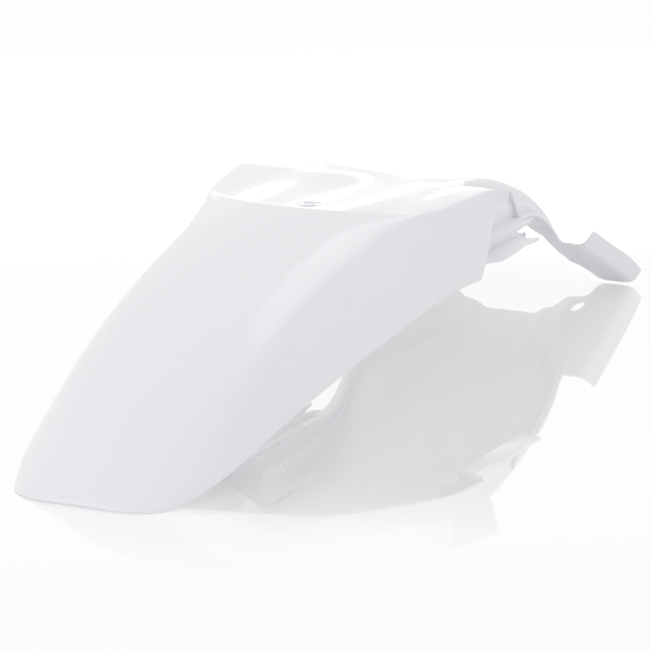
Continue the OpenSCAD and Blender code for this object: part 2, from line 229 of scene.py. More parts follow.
class Loft:
    """The moulded sheet from the trailing edge to the flanges, as rows and columns of points."""

    TOP_SHARES = (0, 0.11, 0.22, 0.33, 0.44, 0.55, 0.64, 0.715, 0.765, 0.88, 1)
    ROUND_SHARES = (0.25, 0.5, 0.75, 1)
    SIDE_SHARES = (0.2, 0.4, 0.6, 0.8, 1)
    FLANGE_COLS = 8
    PANEL_ROWS = 15
    RIDGE = 6
    DROP_SHARES = (0.05, 0.12, 0.21)
    POCKET_SHARES = (0.15, 0.27, 0.4, 0.53, 0.67, 0.78, 0.9, 1)
    APRON_SHARES = (
        (0, 0.083, 0.167, 0.25, 0.317, 0.383, 0.44, 0.5)
        + (0.55, 0.605, 0.667, 0.72, 0.775, 0.834, 0.91, 1)
    )
    HUMP = 0.4
    GROOVE = 0.69
    LEDGE = 0.73
    LEDGE_RISE = 0.35
    SIDE_BULGE = 0.035
    FOLD_LAYER = "fold"

    def __init__(self, sizes: FenderSizes) -> None:
        """Makes the guides from the sizes.

        Args:
            sizes: The fender's sizes.
        """
        self.s = sizes
        self._panel_guides()
        self._apron_guides()
        self._flange_guides()
        self.last_station = len(self.crest.points) - 1
        pocket = self.last_station - self.RIDGE
        self.main_steps = [self.RIDGE * r / self.PANEL_ROWS for r in range(self.PANEL_ROWS + 1)]
        self.main_steps.insert(-1, self.RIDGE - 0.04)
        self.main_steps += [self.RIDGE + share for share in self.DROP_SHARES]
        self.main_steps += [self.RIDGE + share * pocket for share in self.POCKET_SHARES]
        self.apron_steps = [share * (len(self.apron_y.points) - 1) for share in self.APRON_SHARES]
        self.top_cols = len(self.TOP_SHARES)
        self.round_cols = len(self.ROUND_SHARES)
        self.skin_cols = self.top_cols + self.round_cols + len(self.SIDE_SHARES)
        self.cols = self.skin_cols + self.FLANGE_COLS
        self.main_rows = len(self.main_steps)
        self.rows = self.main_rows + len(self.apron_steps)
        self.flange_row = self.main_rows + 7

    def _panel_guides(self) -> None:
        """Sets the guides of the tail panel, side wall and pocket."""
        s = self.s
        centre_y = (0, 0.153, 0.321, 0.52, 0.719, 0.887, 1)
        centre_z = (0, 0.235, 0.47, 0.688, 0.854, 0.951, 1)
        rise = s.ridge_h - s.tail_arch
        self.centre = Guide(
            [(0, y * s.ridge_y, z * rise + s.tail_arch) for y, z in zip(centre_y, centre_z)]
            + [(0, mix(s.ridge_y, s.rail_l, share), s.ridge_h) for share in (0.33, 0.66, 0.985)]
        )
        widths = [share * s.panel_w / 2 for share in (0.945, 0.985, 1, 1, 1.06)]
        widths += [share * s.rail_w / 2 for share in (0.807, 0.886, 0.939, 1)]
        crest_y = (0.118, 0.24, 0.386, 0.536, 0.68, 0.805, 0.85, 0.923, 1)
        crest_z = (0.165, 0.451, 0.69, 0.859, 0.96, 0.98, 0.986, 0.996, 1)
        self.crest = Guide(
            [(0.87 * s.tail_w / 2, 0.3 * s.tail_corner, 0)]
            + [(x, y * s.rail_l, z * s.rail_h) for x, y, z in zip(widths, crest_y, crest_z)]
        )
        skirt_x = (0.65, 0.72, 0.795, 0.86, 0.908, 0.949, 0.97, 0.986, 1)
        skirt_y = (0.158, 0.287, 0.428, 0.584, 0.73, 0.857, 0.905, 0.953, 1)
        skirt_z = (0.14, 0.335, 0.555, 0.73, 0.866, 0.972, 0.995, 1.005, 1)
        self.skirt = Guide(
            [(s.tail_w / 2, s.tail_corner, 0)]
            + [
                (x * s.skirt_w / 2, y * s.skirt_l, z * s.skirt_h)
                for x, y, z in zip(skirt_x, skirt_y, skirt_z)
            ]
        )

    def _apron_guides(self) -> None:
        """Sets the guides of the apron."""
        s = self.s
        side = s.flange_y - s.rail_l
        y = [s.rail_l + share * side for share in (0.05, 0.33, 0.7, 1)]
        y += [s.flange_y + share * s.flange_len for share in (0.43, 0.7, 1)]
        self.apron_y = Guide(y)
        heights = (0.995, 0.93, 0.75, 0.52, 0.27, 0.13, 0)
        self.apron_z = Guide([mix(s.arch_h, s.valley_h, share) for share in heights])
        rise = s.hump_h - s.valley_h
        self.hump = Guide([share * rise for share in (0.97, 0.85, 0.54, 0.3, 0.05, 0.01, 0)])
        depth = s.groove_h - s.apron_edge_h
        half, arch = s.apron_w / 2, s.arch_w / 2
        front = s.fender_l - 0.05 * s.flange_len
        self.shoulder = Guide(
            [
                (0.87 * half, y[0], s.apron_edge_h + depth),
                (0.91 * half, y[1], s.apron_edge_h + 0.91 * depth),
                (0.96 * half, y[2], s.apron_edge_h + 0.36 * depth),
                (0.955 * half, y[3], s.flange_h + 1.25 * s.lip_h),
                (0.88 * arch, y[4], 0.35 * s.flange_h + s.arch_h),
                (0.81 * arch, y[5], 0.1 * s.flange_h + 0.93 * s.arch_h),
                (0.72 * arch, front, 0.8 * s.arch_h),
            ]
        )
        self.foot = Guide(
            [
                (0.985 * half, y[0], s.apron_edge_h),
                (0.985 * half, y[1], s.apron_edge_h),
                (0.985 * half + s.wall_t / 4, y[2], s.apron_edge_h),
                (half, y[3], s.flange_h),
                (1.04 * arch, y[4], 0.86 * s.flange_h),
                (1.02 * arch, y[5], 0.25 * s.flange_h + 0.42 * s.arch_h),
                (arch, front, 0.5 * s.arch_h),
            ]
        )

    def on_slope(self, x: float, y: float) -> np.ndarray:
        """Returns the point of the flange's floor at x and y."""
        s = self.s
        return np.array((x, y, s.flange_h - (y - s.flange_y) * s.flange_fall))

    def on_ear(self, x: float, y: float) -> np.ndarray:
        """Returns the point of the flat ear at x and y.

        Args:
            x: Distance from the centre plane.
            y: Distance from the trailing edge.

        Returns:
            The point of the flat ear at x and y.
        """
        s = self.s
        rear = float(self.apron_y.points[4])
        high = self.on_slope(x, rear)[2] + 0.7 * s.wall_t
        return np.array((x, y, high - (y - rear) * s.ear_fall - (x - s.ear_x) * s.ear_lean))

    def _flange_guides(self) -> None:
        """Sets the lines along the flange: root, ear, notch, floor, fold and lip."""
        s, y = self.s, self.apron_y.points
        wall, lip = s.wall_t, s.lip_h
        root_x = s.bolt_x - 0.6 * s.bolt_seat_d
        notch_x = s.ear_x + wall
        floor_x = s.flange_w / 2 - 1.2 * s.bolt_seat_d
        fold_x = s.flange_w / 2 - wall
        front = s.flange_y + 0.9 * s.flange_len
        rear = [self.on_slope(mix(s.apron_w / 2, floor_x, t), s.flange_y) for t in (0.5, 0.7, 0.85)]
        self.root = Guide(
            [
                rear[0],
                self.on_ear(root_x, y[4]) + (0, 0, 1.5 * wall),
                self.on_ear(root_x, y[5]),
                self.on_ear(root_x, s.fender_l - 0.13 * s.flange_len),
            ]
        )
        self.ear = Guide(
            [
                rear[1],
                self.on_ear(s.ear_x, y[4]),
                self.on_ear(s.ear_x, y[5] - wall / 2),
                self.on_ear(s.ear_x, s.fender_l - 0.2 * s.flange_len),
            ]
        )
        self.notch = Guide([rear[2]] + [self.on_slope(notch_x, v) for v in (y[4], y[5], front)])
        self.floor = Guide([self.on_slope(floor_x, v) for v in (y[3], y[4], y[5], front)])
        places = zip((fold_x - wall, fold_x - wall / 2, fold_x, fold_x), (y[3], y[4], y[5], front))
        self.fold = Guide([self.on_slope(x, v) for x, v in places])
        edge = s.flange_w / 2
        self.lip = Guide(
            [
                self.on_slope(edge - wall, y[3]) + (0, 0.75 * lip, 0.75 * lip),
                self.on_slope(edge - wall / 2, y[4]) + (0, 0.33 * lip, lip),
                self.on_slope(edge - wall / 4, y[5]) + (0, 0.33 * lip, lip),
                (edge, s.fender_l - 0.06 * s.flange_len, 0.9 * lip + wall / 2),
            ]
        )

    def across(self, share: float, valley: float, hump: float, groove: float, rail: float) -> float:
        """Height across the pocket: valley, hump, groove and rail.

        Args:
            share: Place across the half width, from 0 on the centre plane to 1 on the crest.
            valley: Height on the centre plane.
            hump: Height of the hump.
            groove: Height of the groove beside the rail.
            rail: Height of the rail's crest.

        Returns:
            The height in millimetres.
        """
        step = mix(groove, rail, self.LEDGE_RISE)
        if share < self.HUMP:
            return mix(valley, hump, ease(share / self.HUMP))
        if share < self.GROOVE:
            return mix(hump, groove, ease((share - self.HUMP) / (self.GROOVE - self.HUMP)))
        if share < self.LEDGE:
            return mix(groove, step, (share - self.GROOVE) / (self.LEDGE - self.GROOVE))
        return mix(step, rail, (share - self.LEDGE) / (1 - self.LEDGE))

    def top_point(self, u: float, share: float) -> np.ndarray:
        """Returns the point on top, at place u and at a share of the half width.

        Args:
            u: Place along the guides, counted in stations.
            share: Share of the half width.

        Returns:
            The point on top, at place u and at a share of the half width.
        """
        s = self.s
        c, k = self.centre.at(u), self.crest.at(u)
        sweep = mix(share**5, share**2, clamp01(u / 2))
        lid = mix(c[2], k[2], share * share)
        f = clamp01((u - self.RIDGE) / (self.last_station - self.RIDGE))
        floor_z = self.across(
            share,
            mix(s.pocket_h, s.valley_h, f),
            mix(s.pocket_h, s.hump_h, ease(f)),
            mix(s.pocket_h - s.wall_t, s.groove_h, f),
            k[2],
        )
        drop = ease((u - self.RIDGE) / self.DROP_SHARES[-1])
        return np.array((share * k[0], mix(c[1], k[1], sweep), mix(lid, floor_z, drop)))

    def main_point(self, u: float, j: int) -> np.ndarray:
        """Returns the point of column j on the tail panel, side wall or pocket.

        Args:
            u: Place along the guides, counted in stations.
            j: Number of the column.

        Returns:
            The point of column j on the tail panel, side wall or pocket.
        """
        s = self.s
        rounding = mix(1 - s.crease_r / (s.panel_w / 2), 0.978, ease(u - self.RIDGE + 1))
        if j < self.top_cols:
            return self.top_point(u, self.TOP_SHARES[j] * rounding)
        crest, edge = self.top_point(u, 1), self.skirt.at(u)
        side = edge - crest
        length = float(np.linalg.norm(side))
        start = crest + side * min(0.45, (1 - rounding) * crest[0] / length)
        if j < self.top_cols + self.round_cols:
            t = self.ROUND_SHARES[j - self.top_cols]
            return bend(self.top_point(u, rounding), crest, start, t)
        t = self.SIDE_SHARES[j - self.top_cols - self.round_cols]
        out = np.array((self.SIDE_BULGE * length * sin(pi * t), 0, 0))
        return mix(start, edge, t) + out

    def apron_point(self, w: float, j: int) -> np.ndarray:
        """Returns the point of column j on the apron, at place w along it.

        Args:
            w: Place along the apron, counted in stations.
            j: Number of the column.

        Returns:
            The point of column j on the apron, at place w along it.
        """
        s = self.s
        h, foot = self.shoulder.at(w), self.foot.at(w)
        if j >= self.skin_cols:
            if w >= 3:
                return self.flange_point(w - 3, j - self.skin_cols)
            width = mix(s.bead_w, self.root.points[0][0] - s.apron_w / 2, ease((w - 1) / 2))
            return foot + (width, 0, 0)
        c_y, c_z = float(self.apron_y.at(w)), float(self.apron_z.at(w))
        crown = c_z + float(self.hump.at(w))
        groove = mix(h[2], c_z, 0.1 * (1 - clamp01(w)))
        part = 0.9
        share = self.TOP_SHARES[min(j, self.top_cols - 1)] * part
        z = self.across(share / part * self.GROOVE, c_z, crown, groove, h[2])
        top = np.array((share * h[0], mix(c_y, h[1], share * share), z))
        if j < self.top_cols:
            return top
        side = foot - h
        start = h + side * min(0.3, (1 - part) * h[0] / float(np.linalg.norm(side)))
        if j < self.top_cols + self.round_cols:
            corner = np.array((h[0], h[1], max(h[2], top[2] - s.wall_t)))
            return bend(top, corner, start, self.ROUND_SHARES[j - self.top_cols])
        m = j - self.top_cols - self.round_cols
        d, blend = foot - start, ease(w - 2)
        dz = mix((0.15, 0.42, 0.58, 0.8, 1)[m], self.SIDE_SHARES[m], blend)
        dx = mix((0.1, 0.2, 0.85, 0.95, 1)[m], self.SIDE_SHARES[m], blend)
        return start + d * (dx, dz, dz)

    def flange_point(self, v: float, m: int) -> np.ndarray:
        """Returns the point of column m of the flange, at place v along it.

        Args:
            v: Place along the flange, counted in stations.
            m: Number of the flange's column.

        Returns:
            The point of column m of the flange, at place v along it.
        """
        if m < 4:
            return (self.root, self.ear, self.notch, self.floor)[m].at(v)
        low, fold, lip = self.floor.at(v), self.fold.at(v), self.lip.at(v)
        start = mix(low, fold, 0.7)
        return start if m == 4 else bend(start, fold, lip, (m - 4) / 3)

    def has_cell(self, i: int, j: int) -> bool:
        """Tells whether the cell between rows i, i + 1 and columns j, j + 1 holds wall.

        Args:
            i: Number of the row.
            j: Number of the column.

        Returns:
            Whether the cell between rows i, i + 1 and columns j, j + 1 holds wall.
        """
        m = j if j >= 0 else -1 - j
        if m > self.cols - 2:
            return False
        if i < self.main_rows - 1:
            return m < self.skin_cols - 1
        if i == self.main_rows - 1:
            return m < self.top_cols + 1
        return m < self.skin_cols if i < self.flange_row else True

    def place(self, p: Iterable[float], side: Side = Side.RIGHT) -> Vector:
        """Returns a point in metres in the shared frame, mirrored for the left side."""
        x, y, z = p
        return Vector((x * side.value, y - self.s.fender_l / 2, max(0.0, z))) * MM

    def row_fold(self, i: int, j: int) -> float:
        """Returns how crisp the edge from column j to j + 1 of row i is, from 0 to 1.

        Args:
            i: Number of the row.
            j: Number of the column.

        Returns:
            How crisp the edge from column j to j + 1 of row i is, from 0 to 1.
        """
        m = j if j >= 0 else -1 - j
        on_ridge = i < self.main_rows and self.main_steps[i] == self.RIDGE
        return 0.85 if on_ridge and m < self.top_cols - 1 else 0.0

    def column_fold(self, i: int, j: int) -> float:
        """Returns how crisp the edge from row i to i + 1 of column j is, from 0 to 1.

        Args:
            i: Number of the row.
            j: Number of the column.

        Returns:
            How crisp the edge from row i to i + 1 of column j is, from 0 to 1.
        """
        m = abs(j)
        if i < self.main_rows:
            return 0.0
        w = self.apron_steps[i - self.main_rows]
        if w > 2.3:
            return 0.0
        if m == self.skin_cols - 1:
            return 0.9
        return 0.8 if m in (self.skin_cols - 4, self.skin_cols - 3) else 0.0

    def sheet(self) -> bpy.types.Mesh:
        """Returns the outer face of the sheet as a mesh of quads.

        Returns:
            The outer face of the sheet as a mesh of quads.
        """
        bm = bmesh.new()
        grid: dict[tuple[int, int], bmesh.types.BMVert] = {}

        def vertex(i: int, j: int) -> bmesh.types.BMVert:
            """Returns the vertex of row i and column j, made on first use.

            Args:
                i: Number of the row.
                j: Number of the column.

            Returns:
                The vertex of row i and column j, made on first use.
            """
            if (i, j) not in grid:
                if i < self.main_rows:
                    p = self.main_point(self.main_steps[i], abs(j))
                else:
                    p = self.apron_point(self.apron_steps[i - self.main_rows], abs(j))
                side = Side.LEFT if j < 0 else Side.RIGHT
                grid[i, j] = bm.verts.new(self.place(p, side))
            return grid[i, j]

        for i in range(self.rows - 1):
            for j in range(1 - self.cols, self.cols - 1):
                if self.has_cell(i, j):
                    corners = ((i, j), (i, j + 1), (i + 1, j + 1), (i + 1, j))
                    bm.faces.new([vertex(*c) for c in corners])
        fold = bm.edges.layers.float.new(self.FOLD_LAYER)
        for (i, j), start in grid.items():
            folds = {(i, j + 1): self.row_fold(i, j), (i + 1, j): self.column_fold(i, j)}
            for other, share in folds.items():
                edge = bm.edges.get((start, grid[other])) if share and other in grid else None
                if edge:
                    edge[fold] = share
        mesh = bpy.data.meshes.new("fender_sheet")
        bm.to_mesh(mesh)
        bm.free()
        return mesh


def new_object(name: str, mesh: bpy.types.Mesh) -> bpy.types.Object:
    """Returns a new object in the scene that shows the mesh.

    Args:
        name: Name of the new item.
        mesh: The mesh.

    Returns:
        A new object in the scene that shows the mesh.
    """
    obj = bpy.data.objects.new(name, mesh)
    bpy.context.scene.collection.objects.link(obj)
    return obj


def bake_modifiers(obj: bpy.types.Object) -> None:
    """Turns the object's modifiers into a plain mesh and takes them off.

    Args:
        obj: The object.
    """
    graph = bpy.context.evaluated_depsgraph_get()
    graph.update()
    mesh = bpy.data.meshes.new_from_object(obj.evaluated_get(graph))
    old = obj.data
    obj.modifiers.clear()
    obj.data = mesh
    mesh.name = old.name
    bpy.data.meshes.remove(old)


def drop_object(obj: bpy.types.Object) -> None:
    """Removes a helper object and its mesh.

    Args:
        obj: The object.
    """
    mesh = obj.data
    bpy.data.objects.remove(obj)
    bpy.data.meshes.remove(mesh)


class MouldedWall:
    """Node tree that refines a sheet and gives it a wall of even thickness."""

    INPUTS = (
        ("Refinement", "NodeSocketInt"),
        ("Wall thickness", "NodeSocketFloat"),
        ("Outer finish", "NodeSocketMaterial"),
        ("Inner finish", "NodeSocketMaterial"),
    )

    def __init__(self) -> None:
        """Builds the tree."""
        self.tree = bpy.data.node_groups.new("moulded_wall", "GeometryNodeTree")
        face = self.tree.interface
        face.new_socket(name="Geometry", in_out="INPUT", socket_type="NodeSocketGeometry")
        self.sockets = {
            name: face.new_socket(name=name, in_out="INPUT", socket_type=kind).identifier
            for name, kind in self.INPUTS
        }
        face.new_socket(name="Geometry", in_out="OUTPUT", socket_type="NodeSocketGeometry")
        self._wire()

    def _node(self, kind: str, **settings: object) -> bpy.types.Node:
        """Returns a new node of the tree with its settings.

        Args:
            kind: Type of the node.
            settings: Settings of the node.

        Returns:
            A new node of the tree with its settings.
        """
        node = self.tree.nodes.new(kind)
        for name, value in settings.items():
            setattr(node, name, value)
        return node

    def _wire(self) -> None:
        """Joins the nodes: refine, offset, close the edges, rest on the floor, give finishes."""
        link = self.tree.links.new
        source = self._node("NodeGroupInput").outputs
        refine = self._node("GeometryNodeSubdivisionSurface", boundary_smooth="PRESERVE_CORNERS")
        link(source["Geometry"], refine.inputs["Mesh"])
        link(source["Refinement"], refine.inputs["Level"])
        fold = self._node("GeometryNodeInputNamedAttribute", data_type="FLOAT")
        fold.inputs["Name"].default_value = Loft.FOLD_LAYER
        link(fold.outputs["Attribute"], refine.inputs["Edge Crease"])
        inward = self._node("ShaderNodeMath", operation="MULTIPLY")
        inward.inputs[1].default_value = -1.0
        link(source["Wall thickness"], inward.inputs[0])
        offset = self._node("GeometryNodeExtrudeMesh", mode="FACES")
        offset.inputs["Individual"].default_value = False
        link(refine.outputs["Mesh"], offset.inputs["Mesh"])
        link(inward.outputs[0], offset.inputs["Offset Scale"])
        mark = self._node("GeometryNodeStoreNamedAttribute", data_type="BOOLEAN", domain="FACE")
        mark.inputs["Name"].default_value = "underside"
        link(offset.outputs["Mesh"], mark.inputs["Geometry"])
        link(offset.outputs["Top"], mark.inputs["Value"])
        flip = self._node("GeometryNodeFlipFaces")
        link(mark.outputs["Geometry"], flip.inputs["Mesh"])
        join = self._node("GeometryNodeJoinGeometry")
        link(refine.outputs["Mesh"], join.inputs["Geometry"])
        link(flip.outputs["Mesh"], join.inputs["Geometry"])
        weld = self._node("GeometryNodeMergeByDistance")
        weld.inputs["Distance"].default_value = 1e-6
        link(join.outputs["Geometry"], weld.inputs["Geometry"])
        place = self._node("GeometryNodeInputPosition")
        split = self._node("ShaderNodeSeparateXYZ")
        link(place.outputs["Position"], split.inputs[0])
        above = self._node("ShaderNodeMath", operation="MAXIMUM")
        link(split.outputs["Z"], above.inputs[0])
        above.inputs[1].default_value = 0.0
        merge = self._node("ShaderNodeCombineXYZ")
        link(split.outputs["X"], merge.inputs["X"])
        link(split.outputs["Y"], merge.inputs["Y"])
        link(above.outputs[0], merge.inputs["Z"])
        rest = self._node("GeometryNodeSetPosition")
        link(weld.outputs["Geometry"], rest.inputs["Geometry"])
        link(merge.outputs[0], rest.inputs["Position"])
        smooth = self._node("GeometryNodeSetShadeSmooth")
        link(rest.outputs["Geometry"], smooth.inputs["Geometry"])
        real = self._node("GeometryNodeRealizeInstances")
        link(smooth.outputs["Geometry"], real.inputs["Geometry"])
        outer = self._node("GeometryNodeSetMaterial")
        link(real.outputs["Geometry"], outer.inputs["Geometry"])
        link(source["Outer finish"], outer.inputs["Material"])
        inner_side = self._node("GeometryNodeInputNamedAttribute", data_type="BOOLEAN")
        inner_side.inputs["Name"].default_value = "underside"
        inner = self._node("GeometryNodeSetMaterial")
        link(outer.outputs["Geometry"], inner.inputs["Geometry"])
        link(inner_side.outputs["Attribute"], inner.inputs["Selection"])
        link(source["Inner finish"], inner.inputs["Material"])
        target = self._node("NodeGroupOutput")
        link(inner.outputs["Geometry"], target.inputs["Geometry"])

    def apply(self, obj: bpy.types.Object, values: dict[str, object]) -> None:
        """Gives the object its wall and turns the result into a plain mesh.

        Args:
            obj: The object that holds the sheet.
            values: A value for each named input of the tree.
        """
        modifier = obj.modifiers.new("moulded wall", "NODES")
        modifier.node_group = self.tree
        for name, value in values.items():
            modifier[self.sockets[name]] = value
        bake_modifiers(obj)


class Fittings:
    """The small solids that are moulded on the skin, and the bores cut in it."""

    ROUND_SEGMENTS = 64
    EDGE_ROUNDING = 0.5

    def __init__(self, loft: Loft) -> None:
        """Keeps the loft that the solids sit on.

        Args:
            loft: The fender's loft.
        """
        self.loft = loft
        self.s = loft.s
        self.web_y = self.s.rail_l - self.s.web_l
        self.tab_y = self.s.rail_l + self.s.tab_l
        self.rim_end = self.tab_y - 0.1 * self.s.tab_l
        self.rim_nose = self.tab_y + 0.1 * self.s.tab_l
        self.rim_top = self.s.tab_h + self.s.rim_h

    def _prism(
        self, name: str, outline: list, span: tuple[float, float], spot: Callable, side: Side
    ) -> bpy.types.Object:
        """Returns a solid between two copies of an outline, with rounded edges.

        Args:
            name: Name of the solid.
            outline: Points of the outline in its own plane.
            span: Where the solid starts and ends, square to that plane.
            spot: Turns a point of the outline and a place in the span into x, y and z.
            side: Side of the fender that the solid is on.

        Returns:
            The new object.
        """
        bm = bmesh.new()
        ends = [[bm.verts.new(self.loft.place(spot(p, at), side)) for p in outline] for at in span]
        bm.faces.new(ends[0])
        bm.faces.new(list(reversed(ends[1])))
        for k in range(len(outline)):
            n = (k + 1) % len(outline)
            bm.faces.new((ends[0][k], ends[0][n], ends[1][n], ends[1][k]))
        bmesh.ops.recalc_face_normals(bm, faces=bm.faces)
        mesh = bpy.data.meshes.new(name)
        bm.to_mesh(mesh)
        bm.free()
        obj = new_object(name, mesh)
        add_bevel(obj, self.EDGE_ROUNDING)
        bake_modifiers(obj)
        return obj

    def tab(self, side: Side) -> bpy.types.Object:
        """Returns the pointed tab of a bracket.

        Args:
            side: Side of the fender.

        Returns:
            The pointed tab of a bracket.
        """
        s = self.s
        inner = s.rim_x - s.wall_t
        heel = mix(s.rim_x, s.tab_x, 0.6)
        outline = [
            (inner, self.web_y),
            (heel, self.web_y),
            (heel, s.rail_l - 0.1 * s.tab_l),
            (s.tab_x, s.rail_l + 0.03 * s.tab_l),
            (s.tab_x, s.rail_l + 0.25 * s.tab_l),
            (s.tab_x - s.wall_t, mix(s.rail_l, self.tab_y, 0.65)),
            (s.tab_x, self.tab_y - 2 * s.wall_t),
            (s.tab_x - s.wall_t, self.tab_y - s.wall_t / 2),
            (mix(s.rim_x, s.tab_x, 0.4), self.rim_end),
            (s.rim_x, self.rim_nose),
            (inner, self.rim_nose),
        ]
        span = (s.tab_h, s.tab_h + s.wall_t)
        return self._prism("tab", outline, span, lambda p, at: (p[0], p[1], at), side)

    def rim(self, side: Side) -> bpy.types.Object:
        """Returns the upright rim between the tab and the bead.

        Args:
            side: Side of the fender.

        Returns:
            The upright rim between the tab and the bead.
        """
        s = self.s
        far = self.tab_y + 0.3 * s.tab_l
        outline = [
            (self.web_y, s.tab_h),
            (self.rim_nose, s.tab_h),
            (self.rim_nose, s.tab_h + s.wall_t / 2),
            (self.rim_end, self.rim_top - 0.5 * s.rim_h),
            (self.rim_nose, self.rim_top - 0.45 * s.rim_h),
            (far, self.rim_top - s.wall_t),
            (far, self.rim_top - s.wall_t / 2),
            (self.tab_y, self.rim_top),
            (self.web_y, self.rim_top),
        ]
        span = (s.rim_x - s.wall_t, s.rim_x)
        return self._prism("rim", outline, span, lambda p, at: (at, p[0], p[1]), side)

    def ledge(self, side: Side) -> bpy.types.Object:
        """Returns the ledge between the apron's side wall and the rim.

        Args:
            side: Side of the fender.

        Returns:
            The ledge between the apron's side wall and the rim.
        """
        s = self.s
        low, high = self.rim_top - s.wall_t, self.rim_top
        rear, front = self.web_y, self.tab_y
        outline = [(rear, low), (front, low), (front, high), (rear, high)]
        span = (s.apron_w / 2 - s.wall_t, s.rim_x)
        return self._prism("ledge", outline, span, lambda p, at: (at, p[0], p[1]), side)

    def web(self, side: Side) -> bpy.types.Object:
        """Returns the web that carries on the apron's side wall under the rail.

        Args:
            side: Side of the fender.

        Returns:
            The web that carries on the apron's side wall under the rail.
        """
        s, loft = self.s, self.loft
        first = loft.top_cols + loft.round_cols - 1
        wall = [loft.apron_point(0, j)[[0, 2]] for j in range(first, loft.skin_cols)]
        line = [np.array((wall[0][0], s.groove_h - s.wall_t))] + wall
        outline = line + [p - (s.wall_t, 0) for p in reversed(line)]
        span = (self.web_y, float(loft.apron_y.points[0]) + s.wall_t / 2)
        return self._prism("web", outline, span, lambda p, at: (p[0], at, p[1]), side)

    def cheek(self, side: Side) -> bpy.types.Object:
        """Returns the plate that closes the rear end of a bracket against the side wall.

        Args:
            side: Side of the fender.

        Returns:
            The plate that closes the rear end of a bracket against the side wall.
        """
        s, loft = self.s, self.loft
        rows = [u for u in loft.main_steps if u > loft.RIDGE + 1]
        wall_line = []
        for j in range(loft.top_cols + loft.round_cols + 1, loft.skin_cols):
            line = np.array([loft.main_point(u, j) for u in rows])
            x, z = (np.interp(self.web_y, line[:, 1], line[:, k]) for k in (0, 2))
            if line[-1, 1] >= self.web_y:
                wall_line.append((x - 0.8 * s.wall_t, z))
        first = loft.apron_point(0, loft.top_cols + loft.round_cols - 1)
        half = s.wall_t / 2
        inner, outer = first[0] - half, s.rim_x - half
        low, high = s.tab_h + half, self.rim_top - half
        outline = [(inner, s.groove_h - s.wall_t), *wall_line]
        outline += [(s.tab_x, low), (outer, low), (outer, high), (inner, high)]
        span = (self.web_y - half, self.web_y + half)
        return self._prism("cheek", outline, span, lambda p, at: (p[0], at, p[1]), side)

    def gusset(self, side: Side) -> bpy.types.Object:
        """Returns the gusset between the apron's side wall and its bead.

        Args:
            side: Side of the fender.

        Returns:
            The gusset between the apron's side wall and its bead.
        """
        s, loft = self.s, self.loft
        at = 0.25 * (len(loft.apron_y.points) - 1)
        top = loft.apron_point(at, loft.top_cols + loft.round_cols - 1)
        foot = loft.apron_point(at, loft.skin_cols - 1)
        reach = foot[0] + 0.6 * s.bead_w
        outline = [
            (top[0] - s.wall_t, top[2]),
            (top[0] + s.wall_t / 2, top[2]),
            (reach, foot[2]),
            (reach, foot[2] - s.wall_t / 2),
            (foot[0] - s.wall_t / 2, foot[2] - s.wall_t / 2),
        ]
        span = (foot[1] - s.gusset_t / 2, foot[1] + s.gusset_t / 2)
        return self._prism("gusset", outline, span, lambda p, at: (p[0], at, p[1]), side)

    def _turned(self, name: str, profile: list, frame: Matrix) -> bpy.types.Object:
        """Returns a solid of revolution.

        Args:
            name: Name of the solid.
            profile: Closed profile as radius and height in millimetres; radius 0 is a pole.
            frame: Place and turn of the axis, in metres.

        Returns:
            The new object.
        """
        bm = bmesh.new()
        count = self.ROUND_SEGMENTS
        rings = []
        for radius, height in profile:
            if radius == 0:
                rings.append([bm.verts.new(frame @ Vector((0, 0, height * MM)))])
                continue
            angles = [2 * pi * k / count for k in range(count)]
            spots = [Vector((radius * cos(a), radius * sin(a), height)) * MM for a in angles]
            rings.append([bm.verts.new(frame @ v) for v in spots])
        pairs = list(zip(rings, rings[1:]))
        if len(rings[0]) > 1:
            pairs.append((rings[-1], rings[0]))
        for a, b in pairs:
            for k in range(count):
                n = (k + 1) % count
                loop = [a[k % len(a)], a[n % len(a)], b[n % len(b)], b[k % len(b)]]
                bm.faces.new(list(dict.fromkeys(loop)))
        bmesh.ops.recalc_face_normals(bm, faces=bm.faces)
        mesh = bpy.data.meshes.new(name)
        bm.to_mesh(mesh)
        bm.free()
        return new_object(name, mesh)

    def _bolt_frame(self, side: Side) -> Matrix:
        """Returns the frame of a bolt's axis, with its zero on the underside of the seat.

        Args:
            side: Side of the fender.

        Returns:
            The frame of a bolt's axis, with its zero on the underside of the seat.
        """
        s = self.s
        at = self.loft.place(self.loft.on_ear(s.bolt_x, s.fender_l - s.bolt_inset), side)
        pitch = atan(s.ear_fall)
        roll = atan(s.ear_lean * cos(pitch))
        turn = Matrix.Rotation(-pitch, 4, "X") @ Matrix.Rotation(side.value * roll, 4, "Y")
        drop = Matrix.Translation((0, 0, -(s.wall_t + s.bolt_seat_rise) * MM))
        return Matrix.Translation(at) @ turn @ drop

    @property
    def seat_t(self) -> float:
        """Thickness of a bolt's seat."""
        return self.s.wall_t + 2 * self.s.bolt_seat_rise

    def seat(self, side: Side) -> bpy.types.Object:
        """Returns the flat seat of a bolt.

        Args:
            side: Side of the fender.

        Returns:
            The flat seat of a bolt.
        """
        r, t, edge = self.s.bolt_seat_d / 2, self.seat_t, self.EDGE_ROUNDING * 0.6
        profile = [(0, 0), (r - edge, 0), (r, edge), (r, t - edge), (r - edge, t), (0, t)]
        return self._turned("seat", profile, self._bolt_frame(side))

